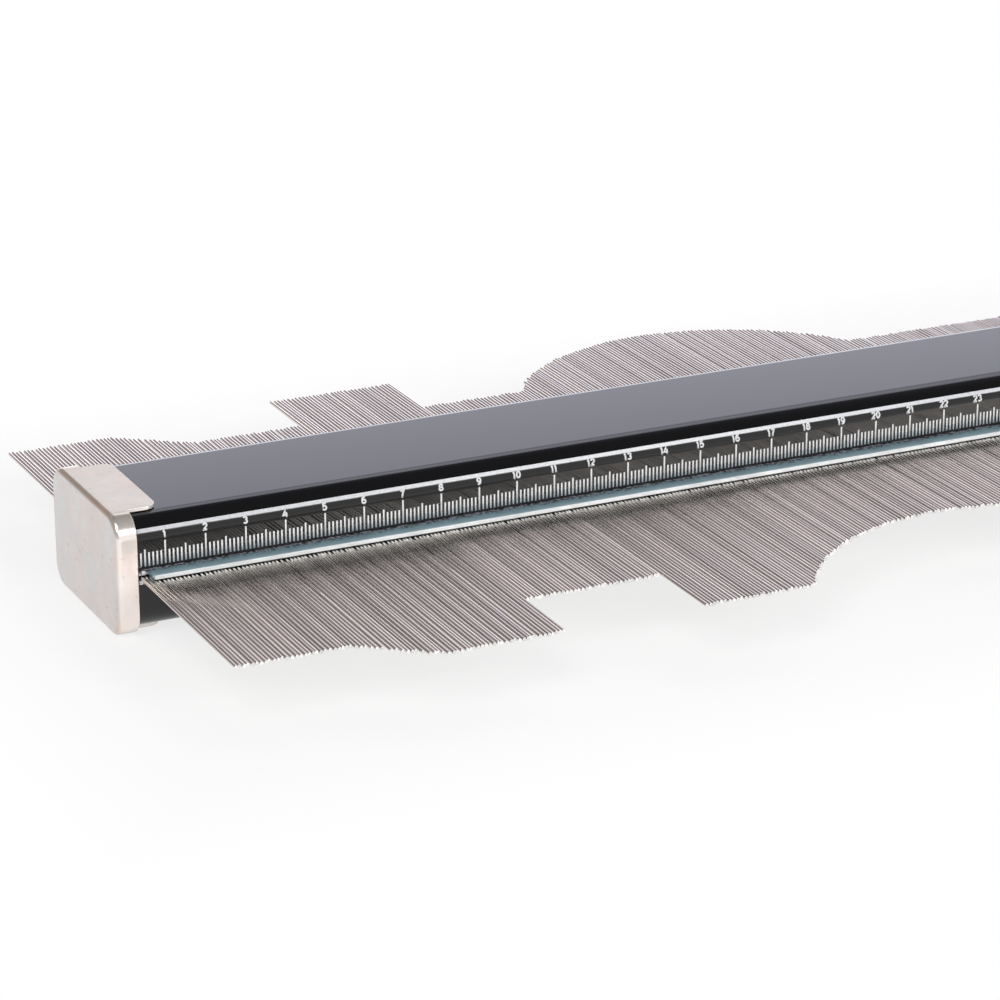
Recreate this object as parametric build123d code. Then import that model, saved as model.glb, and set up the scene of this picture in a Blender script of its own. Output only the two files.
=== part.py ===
from build123d import *
import math
import os

# Contour gauge with a 300 mm scale: a row of steel pins gripped between two sheet-steel halves.
# Millimetres. X runs along the row of pins, -Y is the side with the scale, +Z is up.
# The origin is at the centre of the lower channel's flat underside.

# Painted channels, one below and one above the pins
scale_length = 300.0
channel_overrun = 1.25
channel_depth = 42.0
channel_height = 12.15
channel_wall = 1.0
channel_bend = 5.75

# Guide plates that close the channels and stand out as lips along both sides
plate_thickness = 0.6
lip_projection = 5.0
lip_round = 0.2
lip_corner = 0.8
notch_gap = 2.35
skirt_to_plate = 0.1

# Pins
pin_diameter = 0.95
pin_sides = 6
pin_length = 152.5
pin_gap = 0.05
pins_per_bank = 7
skirt_to_pin = 0.15
pin_unevenness = 0.35

# Felt strips that grip the pins, and the spacers at the ends of the row
strip_inset = 4.0
strip_thickness = 0.55
grip_clearance = 0.025
spacer_inset = 1.0
spacer_clearance = 0.075

# End caps, pressed from sheet
cap_sheet = 1.0
cap_clearance = 0.15
cap_fold = 1.5
cap_skirt = 5.25
cap_tab_length = 12.8
cap_tab_inset = 5.1
cap_tab_round = 3.0

# The contour that the pins are left in. Places are read on the scale, and each height is how far
# the front tips are pushed back from the low stretches.
low_tip_reach = 72.2
shelf_height = 12.8
shelf_end = 30.5
slope_length = 17.5
block_height = 20.8
block_start = 77.0
block_end = 112.0
dome_height = 28.5
dome_centre = 190.5
dome_radius = 57.2

# Sizes that follow from the ones above
channel_length = scale_length + 2 * channel_overrun
slot_height = pin_diameter + 2 * (grip_clearance + strip_thickness)
middle_z = channel_height + plate_thickness + slot_height / 2
cap_offset = cap_clearance + cap_sheet
cap_corner = channel_bend
cap_depth = channel_depth + 2 * cap_offset
cap_height = 2 * (middle_z + cap_offset)
half_length = channel_length / 2 + cap_offset
skirt_edge = half_length - cap_skirt
pin_radius = pin_diameter / 2
pin_pitch = pin_diameter + pin_gap
row_room = 2 * (skirt_edge - skirt_to_pin) - pin_diameter
pin_count = math.floor(row_room / pin_pitch) + 1
first_pin = -(pin_count - 1) * pin_pitch / 2
spacer_face = -first_pin + pin_radius + spacer_clearance


def channel():
    """Lower channel: one sheet bent up into a U that is open towards the pins."""
    outline = Pos(0, channel_height / 2) * Rectangle(channel_depth, channel_height)
    outline = fillet(outline.vertices().group_by(Axis.Y)[0], channel_bend)
    inner_width = channel_depth - 2 * channel_wall
    hollow = Pos(0, channel_height / 2 + channel_wall) * Rectangle(inner_width, channel_height)
    hollow = fillet(hollow.vertices().group_by(Axis.Y)[0], channel_bend - channel_wall)
    return extrude(Plane.YZ * (outline - hollow), channel_length / 2, both=True)


def guide_plate():
    """Lower guide plate: a strip with rounded long edges, notched at its four corners.

    The ends are as wide as the channel and run into the end caps. Beside each cap a short step is
    flush with the cap's skirt, and between the steps the long edges stand out as lips.
    """
    width = channel_depth + 2 * lip_projection
    section = RectangleRounded(width, plate_thickness, lip_round)
    section = Pos(0, channel_height + plate_thickness / 2) * section
    strip = extrude(Plane.YZ * section, channel_length / 2, both=True)
    lips = RectangleRounded(2 * (skirt_edge - notch_gap), width, lip_corner)
    steps = Rectangle(2 * (skirt_edge - skirt_to_plate), cap_depth)
    ends = Rectangle(channel_length, channel_depth)
    return strip & extrude(lips + steps + ends, middle_z)


def friction_strip():
    """Lower felt strip, glued on the guide plate under the pins."""
    length = 2 * (spacer_face - spacer_clearance)
    strip = Box(length, channel_depth - 2 * strip_inset, strip_thickness)
    top = middle_z - pin_radius - grip_clearance
    return Pos(0, 0, top - strip_thickness / 2) * strip


def end_spacer():
    """Right end spacer: a flat bar that fills the slot between the guide plates."""
    length = channel_length / 2 - spacer_face
    bar = Box(length, channel_depth - 2 * spacer_inset, slot_height)
    return Pos(spacer_face + length / 2, 0, middle_z) * bar


def end_cap():
    """Right end cap: a drawn cup with a short skirt and a long tab above and below."""
    rim = RectangleRounded(cap_depth, cap_height, cap_corner)
    outside = extrude(Plane.YZ * rim, cap_tab_length)
    outside = fillet(outside.edges().group_by(Axis.X)[-1], cap_fold)
    inside = extrude(Plane.YZ * offset(rim, -cap_sheet), cap_tab_length - cap_sheet)

    tab_width = channel_depth - 2 * cap_tab_inset
    tab = Pos(cap_tab_length / 2, 0) * Rectangle(cap_tab_length, tab_width)
    tab = fillet(tab.vertices().group_by(Axis.X)[0], cap_tab_round)
    skirt = Pos(cap_tab_length - cap_skirt / 2, 0) * Rectangle(cap_skirt, cap_depth)
    trim = extrude(tab + skirt, cap_height / 2, both=True)
    return Pos(half_length - cap_tab_length, 0, middle_z) * ((outside - inside) & trim)


def tip_height(x):
    """How far the front tips at x on the scale are pushed back from the low stretches."""
    if x < shelf_end + slope_length:
        return shelf_height * min(1.0, (shelf_end + slope_length - x) / slope_length)
    if block_start < x < block_end:
        return block_height
    rise = dome_radius**2 - (x - dome_centre)**2
    if rise > (dome_radius - dome_height)**2:
        return math.sqrt(rise) - (dome_radius - dome_height)
    return 0.0


def pin_x(number):
    return first_pin + number * pin_pitch


def pin_shift(number):
    """Shift of a pin's middle along Y from the middle of the gauge."""
    height = tip_height(pin_x(number) + scale_length / 2)
    unevenness = pin_unevenness * math.sin(number**2)
    tip = -channel_depth / 2 - low_tip_reach + height + unevenness
    return tip + pin_length / 2


def bank_ranges():
    """Pin numbers of each bank: the row is divided evenly between the steps of the block."""
    steps = [block_start, block_end]
    cuts = [math.ceil((step - scale_length / 2 - first_pin) / pin_pitch) for step in steps]
    stretches = zip([0] + cuts, cuts + [pin_count])
    ranges = []
    for low, high in stretches:
        banks = max(1, round((high - low) / pins_per_bank))
        ends = [low + round((high - low) * k / banks) for k in range(banks + 1)]
        ranges += list(zip(ends[:-1], ends[1:]))
    return ranges


def pin_bank(numbers):
    """A few neighbouring pins, each a separate straight length of steel wire.

    The wire is round. It is drawn with a few flat sides, which keeps a row of this many pins light,
    and with an edge up and an edge down, where the round wire meets the felt.
    """
    section = Rot(0, 0, 180 / pin_sides) * RegularPolygon(pin_radius, pin_sides)
    wire = extrude(Plane.XZ * section, pin_length / 2, both=True)
    return [Pos(pin_x(number), pin_shift(number), middle_z) * wire for number in range(*numbers)]


def upper(part):
    """The upper half is the lower half turned over about the pins' middle plane."""
    return part.mirror(Plane.XY.offset(middle_z))


def left(part):
    return part.mirror(Plane.YZ)


parts = {
    "lower_channel": channel(),
    "upper_channel": upper(channel()),
    "lower_guide_plate": guide_plate(),
    "upper_guide_plate": upper(guide_plate()),
    "lower_friction_strip": friction_strip(),
    "upper_friction_strip": upper(friction_strip()),
    "right_end_spacer": end_spacer(),
    "left_end_spacer": left(end_spacer()),
    "right_end_cap": end_cap(),
    "left_end_cap": left(end_cap()),
}
for index, numbers in enumerate(bank_ranges()):
    parts[f"pin_bank_{index + 1:02d}"] = Compound(children=pin_bank(numbers))

os.makedirs("parts", exist_ok=True)
for name, shape in parts.items():
    export_step(shape, f"parts/{name}.step")
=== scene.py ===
import bmesh
import bpy
import math
import random
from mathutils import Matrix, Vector


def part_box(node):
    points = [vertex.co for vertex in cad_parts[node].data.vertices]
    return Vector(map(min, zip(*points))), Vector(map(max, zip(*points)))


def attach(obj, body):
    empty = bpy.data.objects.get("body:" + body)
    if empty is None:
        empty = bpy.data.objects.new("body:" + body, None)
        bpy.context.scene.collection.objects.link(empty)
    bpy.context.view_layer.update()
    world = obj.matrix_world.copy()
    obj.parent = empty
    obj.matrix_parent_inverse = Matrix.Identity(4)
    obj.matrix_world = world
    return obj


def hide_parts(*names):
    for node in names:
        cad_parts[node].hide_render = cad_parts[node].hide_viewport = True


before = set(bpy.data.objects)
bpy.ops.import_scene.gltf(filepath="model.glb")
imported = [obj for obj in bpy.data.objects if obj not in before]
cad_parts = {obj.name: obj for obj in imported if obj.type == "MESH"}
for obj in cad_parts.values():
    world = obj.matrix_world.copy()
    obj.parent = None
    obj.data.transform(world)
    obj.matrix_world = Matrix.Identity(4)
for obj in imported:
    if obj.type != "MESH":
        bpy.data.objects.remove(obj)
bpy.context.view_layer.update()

# Lower channel
# Sheet steel bent up into a U with wide round bends, sprayed and stoved with black enamel.
# It lies open side up under the pins, and the end caps hold it.
mm = 0.001
channel_wall = 1.0 * mm
channel_bend = 5.75 * mm
bend_steps = 24
sheared_edge = 0.12 * mm
edge_steps = 3
sharp_angle = 35
enamel_black = "#0B0B0D"
enamel_ior = 1.52
enamel_roughness = 0.012
# Pattern sizes are real ones, and an edge is the pair of noise values between which a patch begins
orange_peel_size = 1.6 * mm
orange_peel_height = 0.0012 * mm
haze_patch = 9 * mm
haze_edge = (0.35, 0.75)
haze_gain = 1.7


def linear(code):
    """Turns an sRGB hex colour into the linear colour that the shaders take."""
    parts = [int(code[i:i + 2], 16) / 255 for i in (1, 3, 5)]
    return tuple(c / 12.92 if c <= 0.04045 else ((c + 0.055) / 1.055) ** 2.4 for c in parts) + (1.0,)


def add(tree, kind, inputs=(), **settings):
    """Adds a shader node with its settings; each input is a value or the output that feeds it."""
    made = tree.nodes.new("ShaderNode" + kind)
    for name, value in settings.items():
        setattr(made, name, value)
    for key, value in dict(inputs).items():
        if isinstance(value, bpy.types.NodeSocket):
            tree.links.new(value, made.inputs[key])
        else:
            made.inputs[key].default_value = value
    return made


def start_material(name, metallic, roughness, ior=None):
    """A new material with its main shader, and the row's coordinates in metres."""
    material = bpy.data.materials.new(name)
    material.use_nodes = True
    tree = material.node_tree
    shader = tree.nodes["Principled BSDF"]
    shader.inputs["Metallic"].default_value = metallic
    shader.inputs["Roughness"].default_value = roughness
    if ior:
        shader.inputs["IOR"].default_value = ior
    place = add(tree, "TexCoord").outputs["Object"]
    return material, tree, shader, place


def black_enamel():
    """Stoved enamel: a deep black under a smooth gloss, with the faint ripple that spraying leaves."""
    material, tree, shader, place = start_material("black_stoved_enamel", 0.0, enamel_roughness,
                                                   enamel_ior)
    shader.inputs["Base Color"].default_value = linear(enamel_black)
    ripple = add(tree, "TexNoise", {"Vector": place, "Scale": 1 / orange_peel_size, "Detail": 2.0})
    bump = add(tree, "Bump", {"Height": ripple.outputs["Fac"], "Distance": orange_peel_height,
                              "Strength": 1.0})
    tree.links.new(bump.outputs["Normal"], shader.inputs["Normal"])
    patches = add(tree, "TexNoise", {"Vector": place, "Scale": 1 / haze_patch, "Detail": 6.0})
    haze = add(tree, "MapRange", {"Value": patches.outputs["Fac"], "From Min": haze_edge[0],
                                  "From Max": haze_edge[1], "To Min": enamel_roughness,
                                  "To Max": enamel_roughness * haze_gain})
    tree.links.new(haze.outputs["Result"], shader.inputs["Roughness"])
    return material


def channel_section(low, high):
    """The U's section as (y, z) points: down the front leg, under, up the back leg, and back inside."""
    def bends(inset):
        radius = channel_bend - inset
        path = [(low.y + inset, high.z)]
        for side in (-1, 1):
            centre_y = (low.y + channel_bend) if side < 0 else (high.y - channel_bend)
            for step in range(bend_steps + 1):
                turn = math.pi / 2 * step / bend_steps
                if side > 0:
                    turn = math.pi / 2 - turn
                path.append((centre_y + side * radius * math.cos(turn),
                             low.z + channel_bend - radius * math.sin(turn)))
        return path + [(high.y - inset, high.z)]
    return bends(0) + bends(channel_wall)[::-1]


def extrude_section(name, section, x_low, x_high):
    """A solid whose (y, z) section runs straight along the row."""
    mesh = bmesh.new()
    rings = [[mesh.verts.new((x, y, z)) for y, z in section] for x in (x_low, x_high)]
    mesh.faces.new(rings[0])
    mesh.faces.new(rings[1][::-1])
    for i in range(len(section)):
        j = (i + 1) % len(section)
        mesh.faces.new((rings[0][i], rings[1][i], rings[1][j], rings[0][j]))
    bmesh.ops.recalc_face_normals(mesh, faces=mesh.faces)
    return into_object(name, mesh)


def into_object(name, mesh):
    """Puts a finished bmesh into the scene as a smooth-shaded object."""
    data = bpy.data.meshes.new(name)
    mesh.to_mesh(data)
    mesh.free()
    data.shade_smooth()
    made = bpy.data.objects.new(name, data)
    bpy.context.scene.collection.objects.link(made)
    return made


def round_edges(piece, width):
    """Rounds every sharp edge a little, as shearing and plating leave it."""
    bevel = piece.modifiers.new("rounded_edges", "BEVEL")
    bevel.width = width
    bevel.segments = edge_steps
    bevel.limit_method = "ANGLE"
    bevel.angle_limit = math.radians(sharp_angle)
    bevel.harden_normals = True


def settle(piece, material, nodes, body="grip"):
    """Gives a piece its material, its body, and the nodes that it stands for."""
    piece.data.materials.clear()
    piece.data.materials.append(material)
    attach(piece, body)
    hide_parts(*nodes)


enamel = black_enamel()
channel_low, channel_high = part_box("lower_channel")
lower_section = channel_section(channel_low, channel_high)
lower_channel = extrude_section("lower_channel_pressing", lower_section, channel_low.x, channel_high.x)
round_edges(lower_channel, sheared_edge)
settle(lower_channel, enamel, ["lower_channel"])

# Guide plates
# Two strips of thin sheet steel, zinc plated, that close the channels and stand out as lips.
# Their ends are notched back, first to the caps' width and then to the channel's, and run into the caps.
plate_sheet = 1.08 * mm
lip_corner = 0.8 * mm
lip_round = 0.2 * mm
zinc_blue = "#82AEBD"
# Near white, used for the painted sheen towards the lip and the painted highlight on its rim and bare
# cut edges
zinc_highlight_pale = "#F0F4F5"
zinc_metal = 0.6
zinc_roughness = 0.3
# Most of a noise texture's values lie between these two
noise_low, noise_high = 0.3, 0.7
# The overspray ends this far outside the channel, and wanders by shares of that
overspray_reach = 2.6 * mm
overspray_black = "#242226"
overspray_grey = "#ABA4AE"
overspray_solid = 0.3
overspray_wander = (-0.5, 0.7)
ragged_size = 0.9 * mm
fleck_edge = (0.45, 0.62)
# Each reach is how far in from the lip's edge a change begins and is complete: the sheen and rim reaches
# for the painted sheen and painted highlight, the metal reach for the lower metallic
lip_sheen_reach = (4.4 * mm, 0.4 * mm)
lip_sheen_share = 0.3
rim_highlight_reach = (0.22 * mm, 0.1 * mm)
rim_metal = 0.25
rim_metal_reach = (1.2 * mm, 0.2 * mm)
# A turn is how squarely a face looks one way, from 0 to 1, where a painted tone begins and is complete
cut_edge_highlight_turn = (0.5, 0.9)
zinc_cloud_size = 6 * mm
zinc_grain_size = 0.5 * mm
zinc_grain_height = 0.004 * mm
zinc_tones = (0.85, 1.05)


def rounded_corner(centre, radius, start, steps=6):
    """Points of a quarter turn about a centre, from a start angle in degrees."""
    turns = [math.radians(start + 90 * step / steps) for step in range(steps + 1)]
    return [(centre[0] + radius * math.cos(turn), centre[1] + radius * math.sin(turn))
            for turn in turns]


def slab(name, outline, z_low, z_high):
    """A flat plate with the given (x, y) outline."""
    mesh = bmesh.new()
    rings = [[mesh.verts.new((x, y, z)) for x, y in outline] for z in (z_low, z_high)]
    mesh.faces.new(rings[0][::-1])
    mesh.faces.new(rings[1])
    for i in range(len(outline)):
        j = (i + 1) % len(outline)
        mesh.faces.new((rings[0][i], rings[0][j], rings[1][j], rings[1][i]))
    bmesh.ops.recalc_face_normals(mesh, faces=mesh.faces)
    return into_object(name, mesh)


def plate_reach(y):
    """How far along the row the plate goes at a distance y from the middle, read from the CAD node."""
    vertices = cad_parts["lower_guide_plate"].data.vertices
    return max(v.co.x for v in vertices if v.co.y > y)


def plate_outline():
    """The notched outline, as one quarter mirrored four times."""
    low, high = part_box("lower_guide_plate")
    step_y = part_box("left_end_cap")[1].y
    step_x = plate_reach(channel_high.y + lip_round)
    lip_x = plate_reach(step_y + lip_corner)
    corner = rounded_corner((lip_x - lip_corner, high.y - lip_corner), lip_corner, 0)
    steps = [(high.x, channel_high.y), (step_x, channel_high.y), (step_x, step_y), (lip_x, step_y)]
    quarter = [(high.x, 0.0)] + steps + corner
    half = quarter + [(-x, y) for x, y in quarter[::-1]]
    return half + [(-x, -y) for x, y in half[1:-1]]


def zinc_plating():
    """Bright zinc: a bluish metal, painted paler towards the lip as a sheen, and near white on the lip's
    rim and the bare cut edges as a painted highlight.

    Beside the channel it has a ragged border of grey and black specks, overspray of the enamel.
    """
    material, tree, shader, place = start_material("bright_zinc_plating", zinc_metal, zinc_roughness)
    split = add(tree, "SeparateXYZ", {"Vector": place})
    across = add(tree, "Math", {0: split.outputs["Y"]}, operation="ABSOLUTE")
    ragged = add(tree, "TexNoise", {"Vector": place, "Scale": 1 / ragged_size, "Detail": 5.0,
                                    "Roughness": 0.7})
    wander = add(tree, "MapRange", {"Value": ragged.outputs["Fac"], "From Min": noise_low,
                                    "From Max": noise_high,
                                    "To Min": overspray_wander[0] * overspray_reach,
                                    "To Max": overspray_wander[1] * overspray_reach})
    outside = add(tree, "Math", {0: across.outputs[0], 1: channel_high.y}, operation="SUBTRACT")
    edge = add(tree, "Math", {0: outside.outputs[0], 1: wander.outputs["Result"]}, operation="ADD")
    sprayed = add(tree, "MapRange", {"Value": edge.outputs[0],
                                     "From Min": overspray_solid * overspray_reach,
                                     "From Max": overspray_reach, "To Min": 1.0, "To Max": 0.0})
    fleck = add(tree, "TexNoise", {"Vector": place, "Scale": 1 / ragged_size, "Detail": 3.0})
    flecks = add(tree, "MapRange", {"Value": fleck.outputs["Fac"], "From Min": fleck_edge[0],
                                    "From Max": fleck_edge[1]})
    paint = add(tree, "MixRGB", {"Fac": flecks.outputs["Result"], "Color1": linear(overspray_black),
                                 "Color2": linear(overspray_grey)})
    cloud = add(tree, "TexNoise", {"Vector": place, "Scale": 1 / zinc_cloud_size, "Detail": 4.0})
    tone = add(tree, "MapRange", {"Value": cloud.outputs["Fac"], "From Min": noise_low,
                                  "From Max": noise_high, "To Min": zinc_tones[0],
                                  "To Max": zinc_tones[1]})
    inward = add(tree, "Math", {0: plate_high.y, 1: across.outputs[0]}, operation="SUBTRACT")
    # Paler towards the lip's edge: a painted sheen, then a painted highlight on the rim
    lip_sheen = add(tree, "MapRange", {"Value": inward.outputs[0], "From Min": lip_sheen_reach[0],
                                   "From Max": lip_sheen_reach[1], "To Max": lip_sheen_share})
    rim_highlight = add(tree, "MapRange", {"Value": inward.outputs[0], "From Min": rim_highlight_reach[0],
                                 "From Max": rim_highlight_reach[1]})
    normal = add(tree, "SeparateXYZ", {"Vector": add(tree, "TexCoord").outputs["Normal"]})
    frontal = add(tree, "Math", {0: normal.outputs["Y"]}, operation="ABSOLUTE")
    # Faces looking front or back are the bare cut edges, painted near white as a highlight
    cut_edge_highlight = add(tree, "MapRange", {"Value": frontal.outputs[0], "From Min": cut_edge_highlight_turn[0],
                                 "From Max": cut_edge_highlight_turn[1]})
    rim_highlight = add(tree, "Math", {0: rim_highlight.outputs["Result"], 1: cut_edge_highlight.outputs["Result"]}, operation="MAXIMUM")
    rim_highlight = add(tree, "Math", {0: lip_sheen.outputs["Result"], 1: rim_highlight.outputs[0]}, operation="MAXIMUM")
    zinc_with_highlight = add(tree, "MixRGB", {"Fac": rim_highlight.outputs[0], "Color1": linear(zinc_blue),
                                  "Color2": linear(zinc_highlight_pale)})
    metal = add(tree, "MixRGB", {"Fac": 1.0, "Color1": zinc_with_highlight.outputs["Color"],
                                 "Color2": tone.outputs["Result"]}, blend_type="MULTIPLY")
    colour = add(tree, "MixRGB", {"Fac": sprayed.outputs["Result"], "Color1": metal.outputs[0],
                                  "Color2": paint.outputs[0]})
    edge_dulled = add(tree, "MapRange", {"Value": inward.outputs[0], "From Min": rim_metal_reach[0],
                                         "From Max": rim_metal_reach[1], "To Min": zinc_metal,
                                         "To Max": rim_metal})
    bare = add(tree, "Math", {0: 1.0, 1: sprayed.outputs["Result"]}, operation="SUBTRACT")
    metallic = add(tree, "Math", {0: bare.outputs[0], 1: edge_dulled.outputs["Result"]},
                   operation="MULTIPLY")
    tree.links.new(colour.outputs[0], shader.inputs["Base Color"])
    tree.links.new(metallic.outputs[0], shader.inputs["Metallic"])
    grain = add(tree, "TexNoise", {"Vector": place, "Scale": 1 / zinc_grain_size, "Detail": 4.0})
    bump = add(tree, "Bump", {"Height": grain.outputs["Fac"], "Distance": zinc_grain_height,
                              "Strength": 1.0})
    tree.links.new(bump.outputs["Normal"], shader.inputs["Normal"])
    return material


plate_low, plate_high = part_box("lower_guide_plate")
zinc = zinc_plating()
for side in ("lower", "upper"):
    plate_low, plate_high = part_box(side + "_guide_plate")
    if side == "lower":
        plate_high.z = inner_low = plate_low.z + plate_sheet
    else:
        plate_low.z = inner_high = plate_high.z - plate_sheet
    plate = slab(side + "_guide_strip", plate_outline(), plate_low.z, plate_high.z)
    round_edges(plate, lip_round)
    settle(plate, zinc, [side + "_guide_plate"])

# Friction strips
# Pressed grey wool felt, glued to the guide plates. The pins lie between the two strips, and
# each has pressed a shallow groove into them, which grips it.
felt_grey = "#6D6C6E"
felt_dark = "#3E3D40"
felt_roughness = 0.95
felt_sheen = 0.3
fibre_length = 0.8 * mm
fibre_height = 0.05 * mm
pin_pitch = 1.0 * mm
groove_depth = 0.03 * mm
groove_share = 0.9
groove_steps = 6
pin_names = sorted(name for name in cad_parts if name.startswith("pin_bank_"))


def pin_tips(node_name):
    """(x, front y, back y) of each pin in a bank, read from the CAD node's own wires."""
    wires = {}
    low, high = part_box(node_name)
    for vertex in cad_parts[node_name].data.vertices:
        number = int((vertex.co.x - low.x) // pin_pitch)
        wires.setdefault(number, []).append(vertex.co)
    return [(sum(c.x for c in wire) / len(wire), min(c.y for c in wire), max(c.y for c in wire))
            for number, wire in sorted(wires.items())]


row = {name: pin_tips(name) for name in pin_names}
row_x = [pin[0] for name in pin_names for pin in row[name]]


def felt():
    """Wool felt: matt, with short fibres lying every way."""
    material, tree, shader, place = start_material("pressed_wool_felt", 0.0, felt_roughness)
    fibre = add(tree, "TexNoise", {"Vector": place, "Scale": 1 / fibre_length, "Detail": 8.0,
                                   "Roughness": 0.75, "Distortion": 1.5})
    colour = add(tree, "MixRGB", {"Fac": fibre.outputs["Fac"], "Color1": linear(felt_dark),
                                  "Color2": linear(felt_grey)})
    tree.links.new(colour.outputs[0], shader.inputs["Base Color"])
    bump = add(tree, "Bump", {"Height": fibre.outputs["Fac"], "Distance": fibre_height,
                              "Strength": 1.0})
    tree.links.new(bump.outputs["Normal"], shader.inputs["Normal"])
    shader.inputs["Sheen Weight"].default_value = felt_sheen
    return material


def grooved_strip(name, low, high, grooves_up):
    """A felt strip whose pin side has a shallow groove under every pin."""
    mesh = bmesh.new()
    face_z, back_z = (high.z, low.z) if grooves_up else (low.z, high.z)
    inward = -1 if grooves_up else 1
    profile = [(low.x, face_z)]
    for x in row_x:
        for step in range(groove_steps + 1):
            share = step / groove_steps - 0.5
            depth = groove_depth * math.cos(math.pi * share)
            profile.append((x + share * groove_share * pin_pitch, face_z + inward * depth))
    profile.append((high.x, face_z))
    rows = []
    for y in (low.y, high.y):
        rows.append(([mesh.verts.new((x, y, z)) for x, z in profile],
                     [mesh.verts.new((x, y, back_z)) for x, z in profile]))
    for i in range(len(profile) - 1):
        for layer in (0, 1):
            mesh.faces.new((rows[0][layer][i], rows[0][layer][i + 1],
                            rows[1][layer][i + 1], rows[1][layer][i]))
        for line in (0, 1):
            mesh.faces.new((rows[line][0][i], rows[line][0][i + 1],
                            rows[line][1][i + 1], rows[line][1][i]))
    for i in (0, -1):
        mesh.faces.new((rows[0][0][i], rows[1][0][i], rows[1][1][i], rows[0][1][i]))
    bmesh.ops.recalc_face_normals(mesh, faces=mesh.faces)
    return into_object(name, mesh)


wool = felt()
for side in ("lower", "upper"):
    strip_low, strip_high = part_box(side + "_friction_strip")
    strip_low.z, strip_high.z = max(strip_low.z, inner_low), min(strip_high.z, inner_high)
    strip = grooved_strip(side + "_felt_strip", strip_low, strip_high, side == "lower")
    settle(strip, wool, [side + "_friction_strip"])

# End spacers
# Flat bars of plated steel that close the slot at both ends of the row and keep the halves
# apart. They are cut from strip, with the corners broken.
spacer_corner = 1.2 * mm
for side in ("left", "right"):
    bar_low, bar_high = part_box(side + "_end_spacer")
    bar_low.z, bar_high.z = inner_low, inner_high
    inset = spacer_corner
    outline = []
    for corner_x, corner_y, start in ((bar_high.x - inset, bar_high.y - inset, 0),
                                      (bar_low.x + inset, bar_high.y - inset, 90),
                                      (bar_low.x + inset, bar_low.y + inset, 180),
                                      (bar_high.x - inset, bar_low.y + inset, 270)):
        outline += rounded_corner((corner_x, corner_y), spacer_corner, start)
    spacer = slab(side + "_spacer_bar", outline, bar_low.z, bar_high.z)
    round_edges(spacer, sheared_edge)
    settle(spacer, zinc, [side + "_end_spacer"])

# Pins
# Straight lengths of hard drawn steel wire with rounded ends, held by the felt alone. They have a
# little play in the slot, so they lie together in small groups with wider gaps between these.
wire_radius = 0.45 * mm
wire_sides = 20
tip_round = 0.16 * mm
tip_steps = 4
# Pins in a group, and by what share of the pitch they lie closer together
group_sizes = (2, 6)
squeeze_range = (0.045, 0.085)
wire_steel = "#D8D2CC"
# Near white, painted on the rounded tips as a highlight
tip_highlight_white = "#FFFEFC"
tip_metal = 0.5
tip_highlight_turn = (0.1, 0.4)
wire_roughness = 0.1
wire_roughness_range = (0.8, 1.3)
# The lines of a real drawing die are much finer; these are as coarse as they need to be to show
draw_line_width = 0.12 * mm
draw_line_length = 40 * mm
draw_line_tones = (0.86, 1.06)
wire_tones = (0.74, 1.04)
play_draws = random.Random(7)


def sideways(count):
    """Sideways offsets of a bank's pins: groups of neighbours lie a little closer together."""
    offsets = []
    while len(offsets) < count:
        group = min(play_draws.randint(*group_sizes), count - len(offsets))
        squeeze = play_draws.uniform(*squeeze_range)
        offsets += [-squeeze * pin_pitch * (place - (group - 1) / 2) for place in range(group)]
    return offsets


def wire_rings(front, back):
    """(distance along the wire, radius) from one rounded end to the other."""
    rings = []
    for step in range(tip_steps + 1):
        turn = math.pi / 2 * step / tip_steps
        rings.append((front + tip_round * (1 - math.sin(turn)),
                      wire_radius - tip_round * (1 - math.cos(turn))))
    return rings[::-1] + [(back - (along - front), radius) for along, radius in rings]


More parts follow.
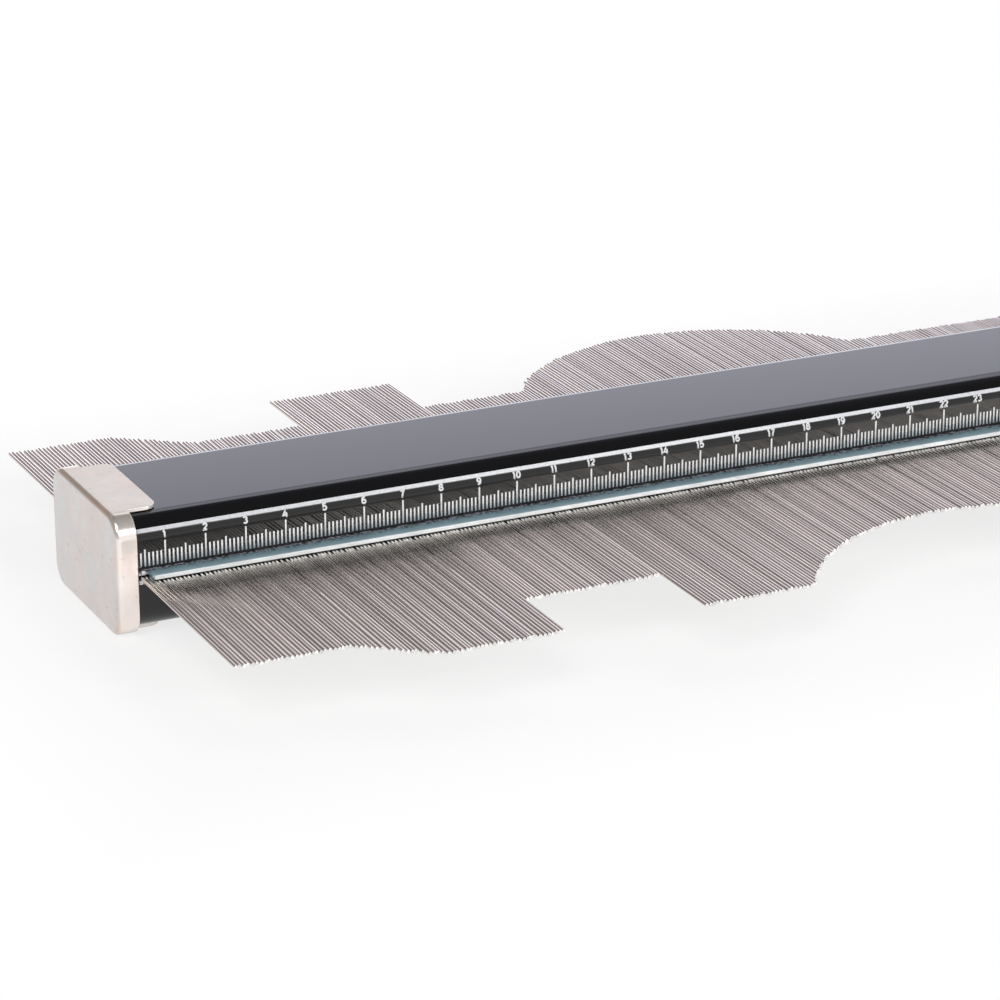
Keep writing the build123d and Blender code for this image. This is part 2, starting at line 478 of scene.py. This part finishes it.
def drawn_steel():
    """Drawn steel: bright, slightly warm, with fine lines along it, and near white on the rounded tips
    as a painted highlight.
    """
    material, tree, shader, place = start_material("drawn_steel_wire", 1.0, wire_roughness)
    line_scale = (1 / draw_line_width, 1 / draw_line_length, 1 / draw_line_width)
    stretch = add(tree, "Mapping", {"Vector": place, "Scale": line_scale})
    lines = add(tree, "TexNoise", {"Vector": stretch.outputs["Vector"], "Scale": 1.0, "Detail": 3.0})
    tone = add(tree, "MapRange", {"Value": lines.outputs["Fac"], "From Min": noise_low,
                                  "From Max": noise_high, "To Min": draw_line_tones[0],
                                  "To Max": draw_line_tones[1]})
    normal = add(tree, "SeparateXYZ", {"Vector": add(tree, "TexCoord").outputs["Normal"]})
    lengthwise = add(tree, "Math", {0: normal.outputs["Y"]}, operation="ABSOLUTE")
    # The tips, faces looking along the wire, get the painted highlight
    tip_highlight = add(tree, "MapRange", {"Value": lengthwise.outputs[0], "From Min": tip_highlight_turn[0],
                                 "From Max": tip_highlight_turn[1]})
    steel_with_tip_highlight = add(tree, "MixRGB", {"Fac": tip_highlight.outputs["Result"], "Color1": linear(wire_steel),
                                      "Color2": linear(tip_highlight_white)})
    across = add(tree, "SeparateXYZ", {"Vector": place})
    number = add(tree, "Math", {0: across.outputs["X"], 1: row_x[0] - pin_pitch / 2},
                 operation="SUBTRACT")
    number = add(tree, "Math", {0: number.outputs[0], 1: pin_pitch}, operation="DIVIDE")
    number = add(tree, "Math", {0: number.outputs[0]}, operation="FLOOR")
    draw = add(tree, "TexWhiteNoise", {"W": number.outputs[0]}, noise_dimensions="1D")
    age = add(tree, "MapRange", {"Value": draw.outputs["Value"], "To Min": wire_tones[0],
                                 "To Max": wire_tones[1]})
    lined = add(tree, "Math", {0: tone.outputs["Result"], 1: age.outputs["Result"]},
                operation="MULTIPLY")
    colour = add(tree, "MixRGB", {"Fac": 1.0, "Color1": steel_with_tip_highlight.outputs["Color"],
                                  "Color2": lined.outputs[0]}, blend_type="MULTIPLY")
    tree.links.new(colour.outputs[0], shader.inputs["Base Color"])
    metallic = add(tree, "MapRange", {"Value": tip_highlight.outputs["Result"], "To Min": 1.0,
                                      "To Max": tip_metal})
    tree.links.new(metallic.outputs["Result"], shader.inputs["Metallic"])
    rough = add(tree, "MapRange", {"Value": lines.outputs["Fac"], "From Min": noise_low,
                                   "From Max": noise_high,
                                   "To Min": wire_roughness * wire_roughness_range[0],
                                   "To Max": wire_roughness * wire_roughness_range[1]})
    tree.links.new(rough.outputs["Result"], shader.inputs["Roughness"])
    return material


steel = drawn_steel()
play = [offset for name in pin_names for offset in sideways(len(row[name]))]
pin_z = sum(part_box("pin_bank_01")[i].z for i in (0, 1)) / 2
pin_number = 0
for name in pin_names:
    mesh = bmesh.new()
    for x, front, back in row[name]:
        middle = x + play[pin_number]
        previous = None
        for along, radius in wire_rings(front, back):
            ring = []
            for side in range(wire_sides):
                turn = 2 * math.pi * side / wire_sides
                ring.append(mesh.verts.new((middle + radius * math.cos(turn), along,
                                            pin_z + radius * math.sin(turn))))
            if previous is None:
                mesh.faces.new(ring)
            else:
                for side in range(wire_sides):
                    after = (side + 1) % wire_sides
                    mesh.faces.new((previous[side], previous[after], ring[after], ring[side]))
            previous = ring
        mesh.faces.new(previous[::-1])
        pin_number += 1
    bmesh.ops.recalc_face_normals(mesh, faces=mesh.faces)
    bank = into_object(name.replace("pin_bank", "pins"), mesh)
    settle(bank, steel, [name], body=name)

# Upper channel
# The same pressing as the lower one, turned over and laid on the upper guide plate. The end
# caps are pressed over both and hold them together.
upper_low, upper_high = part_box("upper_channel")
upper_section = [(y, upper_high.z - z) for y, z in lower_section]
upper_channel = extrude_section("upper_channel_pressing", upper_section, upper_low.x, upper_high.x)
round_edges(upper_channel, sheared_edge)
settle(upper_channel, enamel, ["upper_channel"])

# Printed scale
# White ink, screen printed on the enamel: a mark every millimetre on the front, a number at
# each centimetre on the bend above, and a border line over the numbers.
ink_white = "#F6F6F7"
# A little greyer, used up the bend on the numbers and the border line
ink_bend_grey = "#E8EAED"
ink_roughness = 0.42
ink_patch = 0.7 * mm
ink_patch_edge = (0.3, 0.6)
ink_cover = (0.86, 1.0)
ink_lift = 0.02 * mm
ink_sink = 0.03 * mm
scale_zero = -150 * mm
first_mark, last_mark = 4, 296
last_number = 29
# Heights up the sheet: the marks' foot from the channel's open edge, the rest from the bend's foot
mark_foot = 0.65 * mm
mark_width = 0.4 * mm
mark_heights = {10: 5.75 * mm, 5: 4.15 * mm, 1: 3.35 * mm}
digit_foot = 0.78 * mm
digit_height = 1.47 * mm
digit_width = 0.95 * mm
digit_stroke = 0.45 * mm
digit_gap = 0.36 * mm
# A 1 takes this share of a digit's width, and is shifted by this share to stand in the middle
one_width = 0.55
one_shift = 0.2
sharpest_mitre = 0.6
border_low, border_high = 2.42 * mm, 3.38 * mm
border_end = 149 * mm
border_steps = 6


def on_front(x, rise, lift):
    """A point on the upper channel's front: rise is measured up the sheet from the foot of the bend."""
    foot_z = upper_high.z - channel_bend
    if rise <= 0:
        return Vector((x, upper_low.y - lift, foot_z + rise))
    turn = rise / channel_bend
    radius = channel_bend + lift
    return Vector((x, upper_low.y + channel_bend - radius * math.cos(turn),
                   foot_z + radius * math.sin(turn)))


def ink_ribbon(mesh, left, right, closed=False):
    """A thin solid ribbon of ink between two lines of (x, rise) points."""
    layers = []
    for lift in (-ink_sink, ink_lift):
        layers.append([[mesh.verts.new(on_front(x, rise, lift)) for x, rise in line]
                       for line in (left, right)])
    (low_left, low_right), (high_left, high_right) = layers
    count = len(left)
    for i in range(count if closed else count - 1):
        j = (i + 1) % count
        mesh.faces.new((high_left[i], high_right[i], high_right[j], high_left[j]))
        mesh.faces.new((low_left[i], low_left[j], low_right[j], low_right[i]))
        mesh.faces.new((low_left[i], high_left[i], high_left[j], low_left[j]))
        mesh.faces.new((low_right[i], low_right[j], high_right[j], high_right[i]))
    if not closed:
        for i in (0, -1):
            mesh.faces.new((low_left[i], low_right[i], high_right[i], high_left[i]))


def stroke(mesh, points, width, closed=False):
    """Inks a line of constant width along (x, rise) points."""
    left, right = [], []
    count = len(points)
    for i, (x, rise) in enumerate(points):
        before = points[i - 1] if (i > 0 or closed) else points[i]
        after = points[(i + 1) % count] if (i < count - 1 or closed) else points[i]
        arms = [Vector((x - before[0], rise - before[1])), Vector((after[0] - x, after[1] - rise))]
        arms = [arm.normalized() for arm in arms if arm.length > 0]
        along = sum(arms, Vector((0, 0))).normalized()
        across = Vector((-along.y, along.x))
        spread = max(sharpest_mitre, across.dot(Vector((-arms[0].y, arms[0].x))))
        offset = across * (width / 2 / spread)
        left.append((x + offset.x, rise + offset.y))
        right.append((x - offset.x, rise - offset.y))
    ink_ribbon(mesh, left, right, closed)


def bow(centre_x, centre_y, reach_x, reach_y, start, end, steps=14):
    """Points of an elliptic arc in a digit's unit square, angles in degrees."""
    turns = [math.radians(start + (end - start) * step / steps) for step in range(steps + 1)]
    return [(centre_x + reach_x * math.cos(turn), centre_y + reach_y * math.sin(turn))
            for turn in turns]


# Each digit is one or more pen strokes in a unit square, and True closes a stroke into a ring.
digit_strokes = {
    "0": [(bow(0.5, 0.5, 0.46, 0.5, 0, 360, 24)[:-1], True)],
    "1": [([(0.1, 0.8), (0.36, 0.9), (0.5, 1.14), (0.5, 0.66), (0.5, 0.33), (0.5, -0.15)], False)],
    "2": [(bow(0.5, 0.72, 0.44, 0.28, 170, -30)
           + [(0.06, 0.05), (0.06, 0.0), (0.5, 0.0), (0.95, 0.0)], False)],
    "3": [(bow(0.48, 0.75, 0.42, 0.25, 160, -90), False),
          (bow(0.48, 0.25, 0.46, 0.25, 90, -160), False)],
    "4": [([(0.8, -0.15), (0.8, 0.5), (0.8, 1.13), (0.35, 0.66),
            (-0.1, 0.2), (0.5, 0.2), (1.1, 0.2)], False)],
    "5": [([(0.9, 1.0), (0.18, 1.0), (0.12, 0.75), (0.08, 0.5)]
           + bow(0.46, 0.32, 0.46, 0.32, 125, -155), False)],
    "6": [(bow(0.5, 0.31, 0.45, 0.31, 0, 360, 20)[:-1], True),
          (bow(0.56, 0.42, 0.51, 0.58, 195, 55), False)],
    "7": [([(0.04, 1.0), (0.5, 1.0), (0.96, 1.0), (0.62, 0.6), (0.44, 0.3), (0.33, -0.15)], False)],
    "8": [(bow(0.5, 0.75, 0.38, 0.25, 0, 360, 20)[:-1], True),
          (bow(0.5, 0.26, 0.45, 0.26, 0, 360, 20)[:-1], True)],
    "9": [(bow(0.5, 0.69, 0.45, 0.31, 0, 360, 20)[:-1], True),
          (bow(0.44, 0.58, 0.51, 0.58, 15, -125), False)],
}


def write_number(mesh, number, x):
    """Writes a number over its mark, centred on it."""
    text = str(number)
    widths = [digit_width * (one_width if digit == "1" else 1.0) for digit in text]
    left = x - (sum(widths) + digit_gap * (len(text) - 1)) / 2
    for digit, width in zip(text, widths):
        for points, closed in digit_strokes[digit]:
            shift = digit_width * (one_shift if digit == "1" else 0.0)
            placed = [(left - shift + px * digit_width, digit_foot + py * digit_height)
                      for px, py in points]
            stroke(mesh, placed, digit_stroke, closed)
        left += width + digit_gap


def white_ink():
    """Screen ink: a flat white, a little greyer up the bend."""
    material, tree, shader, place = start_material("white_screen_ink", 0.0, ink_roughness)
    patchy = add(tree, "TexNoise", {"Vector": place, "Scale": 1 / ink_patch, "Detail": 3.0})
    cover = add(tree, "MapRange", {"Value": patchy.outputs["Fac"], "From Min": ink_patch_edge[0],
                                   "From Max": ink_patch_edge[1], "To Min": ink_cover[0],
                                   "To Max": ink_cover[1]})
    height = add(tree, "SeparateXYZ", {"Vector": place})
    foot_of_bend = upper_high.z - channel_bend
    bend_grey = add(tree, "MapRange", {"Value": height.outputs["Z"], "From Min": foot_of_bend + mark_foot,
                                  "From Max": foot_of_bend + border_low})
    white = add(tree, "MixRGB", {"Fac": bend_grey.outputs["Result"], "Color1": linear(ink_white),
                                 "Color2": linear(ink_bend_grey)})
    colour = add(tree, "MixRGB", {"Fac": 1.0, "Color1": white.outputs["Color"],
                                  "Color2": cover.outputs["Result"]}, blend_type="MULTIPLY")
    tree.links.new(colour.outputs[0], shader.inputs["Base Color"])
    return material


ink = white_ink()
mesh = bmesh.new()
flat_height = upper_high.z - channel_bend - upper_low.z
for millimetre in range(first_mark, last_mark + 1):
    size = next(step for step in (10, 5, 1) if millimetre % step == 0)
    x = scale_zero + millimetre * mm
    foot = mark_foot - flat_height
    stroke(mesh, [(x, foot), (x, foot + mark_heights[size])], mark_width)
bmesh.ops.recalc_face_normals(mesh, faces=mesh.faces)
marks = into_object("scale_marks", mesh)
mesh = bmesh.new()
for centimetre in range(1, last_number + 1):
    write_number(mesh, centimetre, scale_zero + centimetre * 10 * mm)
bmesh.ops.recalc_face_normals(mesh, faces=mesh.faces)
numbers = into_object("scale_numbers", mesh)
mesh = bmesh.new()
border_height = border_high - border_low
rises = [border_low + border_height * step / border_steps for step in range(border_steps + 1)]
ink_ribbon(mesh, [(-border_end, rise) for rise in rises], [(border_end, rise) for rise in rises])
bmesh.ops.recalc_face_normals(mesh, faces=mesh.faces)
border = into_object("scale_border", mesh)
for print_piece in (marks, numbers, border):
    settle(print_piece, ink, [])

# End caps
# Drawn from sheet steel into a shallow cup with a long tab above and below, then nickel plated.
# They are pressed over both channels and hold the two halves together.
cap_sheet = 1.0 * mm
cap_fold = 1.5 * mm
cap_corner = 5.75 * mm
cap_skirt = 5.25 * mm
cap_tab_half = 15.9 * mm
trimmed_edge = 0.18 * mm
cap_tab_round = 3.0 * mm
corner_steps = 14
fold_steps = 8
tab_corner_steps = 8
# Lit and shaded copies of one nickel, by which way a face looks: the walls brightest as a painted
# highlight, the end faces darker, and the top, tabs and folds darkest as painted shade
nickel_top_shade = "#CCC4B3"
nickel_wall_highlight = "#FFFAF5"
nickel_end_shade = "#DCD9D6"
nickel_metal = 0.6
nickel_roughness = 0.15
nickel_roughness_range = (0.8, 1.7)
nickel_tones = (0.9, 1.04)
lit_wall_turn = (0.3, 0.9)
end_shade_turn = (0.7, 0.95)
cloud_size = 7 * mm
film_size = 11 * mm
film_cool = "#FAFAFC"
film_warm = "#FFF6F4"
film_edge = (0.4, 0.6)
pit_spacing = 1.5 * mm
pit_grey = "#9C958F"
pit_edge = (0.7, 0.8)
pit_strength = 0.6


def rim_loop(low, high, inset):
    """(y, z) points round the cap's rim, moved in by inset, with one where each tab's side begins."""
    right, left = high.y - cap_corner, low.y + cap_corner
    top, bottom = high.z - cap_corner, low.z + cap_corner
    radius = cap_corner - inset
    loop = rounded_corner((right, top), radius, 0, corner_steps)
    loop += [(cap_tab_half, high.z - inset), (-cap_tab_half, high.z - inset)]
    loop += rounded_corner((left, top), radius, 90, corner_steps)
    loop += rounded_corner((left, bottom), radius, 180, corner_steps)
    loop += [(-cap_tab_half, low.z + inset), (cap_tab_half, low.z + inset)]
    return loop + rounded_corner((right, bottom), radius, 270, corner_steps)


def cap_skin(low, high, end_x, toward):
    """The cup's outer skin; toward is the way from the end face into the row."""
    mesh = bmesh.new()
    stations = [(cap_skirt, 0.0)]
    for step in range(fold_steps + 1):
        turn = math.pi / 2 * step / fold_steps
        stations.append((cap_fold * (1 - math.sin(turn)), cap_fold * (1 - math.cos(turn))))
    rings = []
    for depth, inset in stations:
        rings.append([mesh.verts.new((end_x + toward * depth, y, z))
                      for y, z in rim_loop(low, high, inset)])
    for near, far in zip(rings[:-1], rings[1:]):
        for i in range(len(near)):
            j = (i + 1) % len(near)
            mesh.faces.new((near[i], near[j], far[j], far[i]))
    mesh.faces.new(rings[-1])
    tip_x = end_x + toward * (high.x - low.x - cap_tab_round)
    arc = rounded_corner((0.0, cap_tab_half - cap_tab_round), cap_tab_round, 0, tab_corner_steps)
    for z in (high.z, low.z):
        roots = [v for v in rings[0] if v.co.z == z and abs(abs(v.co.y) - cap_tab_half) < 1e-9]
        roots.sort(key=lambda v: v.co.y)
        curve = [mesh.verts.new((tip_x + toward * along, across, z)) for along, across in arc[::-1]]
        mirrored = [mesh.verts.new((tip_x + toward * along, -across, z)) for along, across in arc]
        mesh.faces.new([roots[0], roots[1]] + curve + mirrored)
    bmesh.ops.recalc_face_normals(mesh, faces=mesh.faces)
    return mesh


def nickel_plating():
    """Nickel: a warm mirror under a handled, slightly milky film, with painted light: brightest on the
    walls as a painted highlight, darker on the end faces and darkest on the top as painted shade.
    """
    material, tree, shader, place = start_material("handled_nickel_plating", nickel_metal,
                                                   nickel_roughness)
    normal = add(tree, "SeparateXYZ", {"Vector": add(tree, "TexCoord").outputs["Normal"]})
    # Painted light by which way a face looks: walls lightest, end faces darker, the rest darkest
    frontal = add(tree, "Math", {0: normal.outputs["Y"]}, operation="ABSOLUTE")
    wall = add(tree, "MapRange", {"Value": frontal.outputs[0], "From Min": lit_wall_turn[0],
                                  "From Max": lit_wall_turn[1]})
    endwise = add(tree, "Math", {0: normal.outputs["X"]}, operation="ABSOLUTE")
    end_shade = add(tree, "MapRange", {"Value": endwise.outputs[0], "From Min": end_shade_turn[0],
                                      "From Max": end_shade_turn[1]})
    lit_and_shaded = add(tree, "MixRGB", {"Fac": wall.outputs["Result"], "Color1": linear(nickel_top_shade),
                                 "Color2": linear(nickel_wall_highlight)})
    metal = add(tree, "MixRGB", {"Fac": end_shade.outputs["Result"], "Color1": lit_and_shaded.outputs["Color"],
                                 "Color2": linear(nickel_end_shade)})
    cloud = add(tree, "TexNoise", {"Vector": place, "Scale": 1 / cloud_size, "Detail": 6.0,
                                   "Roughness": 0.65})
    tone = add(tree, "MapRange", {"Value": cloud.outputs["Fac"], "From Min": noise_low,
                                  "From Max": noise_high, "To Min": nickel_tones[0],
                                  "To Max": nickel_tones[1]})
    clouded = add(tree, "MixRGB", {"Fac": 1.0, "Color1": metal.outputs["Color"],
                                   "Color2": tone.outputs["Result"]}, blend_type="MULTIPLY")
    patch = add(tree, "TexNoise", {"Vector": place, "Scale": 1 / film_size, "Detail": 5.0,
                                   "Distortion": 0.6})
    warmth = add(tree, "MapRange", {"Value": patch.outputs["Fac"], "From Min": film_edge[0],
                                    "From Max": film_edge[1]})
    film = add(tree, "MixRGB", {"Fac": warmth.outputs["Result"], "Color1": linear(film_cool),
                                "Color2": linear(film_warm)})
    filmed = add(tree, "MixRGB", {"Fac": 1.0, "Color1": clouded.outputs["Color"],
                                  "Color2": film.outputs["Color"]}, blend_type="MULTIPLY")
    grit = add(tree, "TexNoise", {"Vector": place, "Scale": 1 / pit_spacing, "Detail": 1.0})
    pits = add(tree, "MapRange", {"Value": grit.outputs["Fac"], "From Min": pit_edge[0],
                                  "From Max": pit_edge[1], "To Max": pit_strength})
    pitted = add(tree, "MixRGB", {"Fac": pits.outputs["Result"], "Color1": filmed.outputs["Color"],
                                  "Color2": linear(pit_grey)})
    tree.links.new(pitted.outputs["Color"], shader.inputs["Base Color"])
    rough = add(tree, "MapRange", {"Value": cloud.outputs["Fac"], "From Min": noise_low,
                                   "From Max": noise_high,
                                   "To Min": nickel_roughness * nickel_roughness_range[0],
                                   "To Max": nickel_roughness * nickel_roughness_range[1]})
    tree.links.new(rough.outputs["Result"], shader.inputs["Roughness"])
    return material


plating = nickel_plating()
for side, toward in (("left", 1), ("right", -1)):
    cap_low, cap_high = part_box(side + "_end_cap")
    end_x = cap_low.x if toward > 0 else cap_high.x
    cap = into_object(side + "_cap_pressing", cap_skin(cap_low, cap_high, end_x, toward))
    sheet = cap.modifiers.new("sheet_thickness", "SOLIDIFY")
    sheet.thickness = cap_sheet
    sheet.offset = -1
    sheet.use_even_offset = True
    round_edges(cap, trimmed_edge)
    settle(cap, plating, [side + "_end_cap"])

# Studio
# A white table in a dim room, with a tall bright panel behind on the right and a pale wall in
# front. A wide softbox hangs over the wall and another on the left. The camera itself sees plain
# white past the table.
table_z = cap_low.z
table_half = 6.0
table_white = "#FFFFFF"
table_roughness = 0.9
# The glow is weaker inside a frame of this half length and half depth round the gauge
glow_share = 0.76
glow_frame = (0.16, 0.1, 0.0)
glow_rise = 0.04
# Heights run from 0 at the horizon to 1 overhead, each with the brightness there
panel_heights = ((0.0, 2.4), (0.16, 2.2), (0.25, 1.29), (0.42, 1.29), (0.48, 1.0), (0.56, 1.0),
                 (0.64, 1.8), (0.77, 1.8), (0.80, 0.3), (0.90, 0.14))
# Edges run along the way's own X and Y, from -1 to 1
panel_white = (0.97, 0.98, 1.12, 1.0)
panel_edge = (0.0, 0.22)
side_dim = (0.262, 0.22, 0.212, 1.0)
wall_edge = (-0.5, -0.3)
wall_dim = 0.3
wall_heights = ((0.0, 0.85), (0.40, 0.85), (0.62, 0.14))
behind_edge = (-0.3, 0.3)
softbox_distance = 3.0
# Each softbox has the way towards it, its width and height in metres, and its radiance
softboxes = {
    "front_softbox": ((0.16, -0.85, 0.505), (3.6, 0.8), 4.0),
    "left_softbox": ((-0.5, -0.45, 0.74), (1.8, 1.8), 3.5),
}


def table_top():
    """A matt white table top.

    To the camera and in every mirror it also glows by itself, in part round the gauge, where its
    shadow shows, and wholly further away.
    """
    material, tree, shader, place = start_material("matt_white_table", 0.0, table_roughness)
    shader.inputs["Base Color"].default_value = linear(table_white)
    shader.inputs["Specular IOR Level"].default_value = 0.0
    ray = add(tree, "LightPath")
    seen = add(tree, "Math", {0: ray.outputs["Is Camera Ray"], 1: ray.outputs["Is Glossy Ray"]},
               operation="MAXIMUM")
    seen = add(tree, "Math", {0: seen.outputs[0], 1: ray.outputs["Is Transmission Ray"]},
               operation="MAXIMUM")
    outward = add(tree, "VectorMath", {0: place}, operation="ABSOLUTE")
    outward = add(tree, "VectorMath", {0: outward.outputs["Vector"], 1: glow_frame},
                  operation="SUBTRACT")
    beyond = add(tree, "SeparateXYZ", {"Vector": outward.outputs["Vector"]})
    away = add(tree, "Math", {0: beyond.outputs["X"], 1: beyond.outputs["Y"]}, operation="MAXIMUM")
    share = add(tree, "MapRange", {"Value": away.outputs[0], "From Min": 0.0, "From Max": glow_rise,
                                   "To Min": glow_share, "To Max": 1.0})
    shown = add(tree, "Math", {0: seen.outputs[0], 1: share.outputs["Result"]}, operation="MULTIPLY")
    glow = add(tree, "Emission", {"Strength": 1.0})
    mixed = add(tree, "MixShader", {0: shown.outputs[0], 1: shader.outputs[0], 2: glow.outputs[0]})
    tree.links.new(mixed.outputs[0], tree.nodes["Material Output"].inputs["Surface"])
    return material


mesh = bmesh.new()
corners = [(-1, -1), (1, -1), (1, 1), (-1, 1)]
mesh.faces.new([mesh.verts.new((table_half * x, table_half * y, table_z)) for x, y in corners])
table = into_object("table", mesh)
table.data.materials.append(table_top())

world = bpy.data.worlds.new("dim_room_with_panel")
bpy.context.scene.world = world
world.use_nodes = True
tree = world.node_tree
way = add(tree, "SeparateXYZ", {"Vector": add(tree, "TexCoord").outputs["Generated"]})
levels = []
for heights in (panel_heights, wall_heights):
    ramp = add(tree, "ValToRGB", {"Fac": way.outputs["Z"]})
    stops = ramp.color_ramp.elements
    while len(stops) < len(heights):
        stops.new(0.5)
    for stop, (height, level) in zip(stops, heights):
        stop.position = height
        stop.color = (level, level, level, 1.0)
    levels.append(ramp.outputs["Color"])
right = add(tree, "MapRange", {"Value": way.outputs["X"], "From Min": panel_edge[0],
                               "From Max": panel_edge[1]}, interpolation_type="SMOOTHSTEP")
tint = add(tree, "MixRGB", {"Fac": right.outputs["Result"], "Color1": side_dim,
                            "Color2": panel_white})
panel = add(tree, "MixRGB", {"Fac": 1.0, "Color1": levels[0], "Color2": tint.outputs["Color"]},
            blend_type="MULTIPLY")
left = add(tree, "MapRange", {"Value": way.outputs["X"], "From Min": wall_edge[0],
                              "From Max": wall_edge[1], "To Min": wall_dim})
wall = add(tree, "MixRGB", {"Fac": 1.0, "Color1": levels[1], "Color2": left.outputs["Result"]},
           blend_type="MULTIPLY")
behind = add(tree, "MapRange", {"Value": way.outputs["Y"], "From Min": behind_edge[0],
                                "From Max": behind_edge[1]}, interpolation_type="SMOOTHSTEP")
room = add(tree, "MixRGB", {"Fac": behind.outputs["Result"], "Color1": wall.outputs["Color"],
                            "Color2": panel.outputs["Color"]})
ray = add(tree, "LightPath")
shown = add(tree, "MixRGB", {"Fac": ray.outputs["Is Camera Ray"], "Color1": room.outputs["Color"],
                             "Color2": linear(table_white)})
tree.links.new(shown.outputs[0], tree.nodes["Background"].inputs["Color"])


def softbox(name, way, size, radiance):
    """A rectangular softbox at a distance from the gauge, turned to face it."""
    lamp = bpy.data.lights.new(name, "AREA")
    lamp.shape = "RECTANGLE"
    lamp.size, lamp.size_y = size
    lamp.energy = radiance * math.pi * size[0] * size[1]
    made = bpy.data.objects.new(name, lamp)
    made.location = Vector(way).normalized() * softbox_distance
    made.rotation_euler = (-made.location).to_track_quat("-Z", "Y").to_euler()
    bpy.context.scene.collection.objects.link(made)


for name, (way, size, radiance) in softboxes.items():
    softbox(name, way, size, radiance)

# Camera
# The photograph's own view: from the scale's zero end, above and in front, with a long lens. Its
# place in metres, turn in degrees and focal length come from the marks of the scale.
camera_place = (-0.41614, -0.77572, 0.32890)
camera_turn = (69.602, 0.098, -25.636)
camera_lens = 134.12
sensor_width = 36
near_clip = 0.01

camera_data = bpy.data.cameras.new("photograph_view")
camera_data.lens = camera_lens
camera_data.sensor_width = sensor_width
camera_data.clip_start = near_clip
camera = bpy.data.objects.new("photograph_view", camera_data)
camera.location = camera_place
camera.rotation_euler = [math.radians(angle) for angle in camera_turn]
bpy.context.scene.collection.objects.link(camera)
bpy.context.scene.camera = camera
bpy.context.scene.view_settings.view_transform = "Standard"
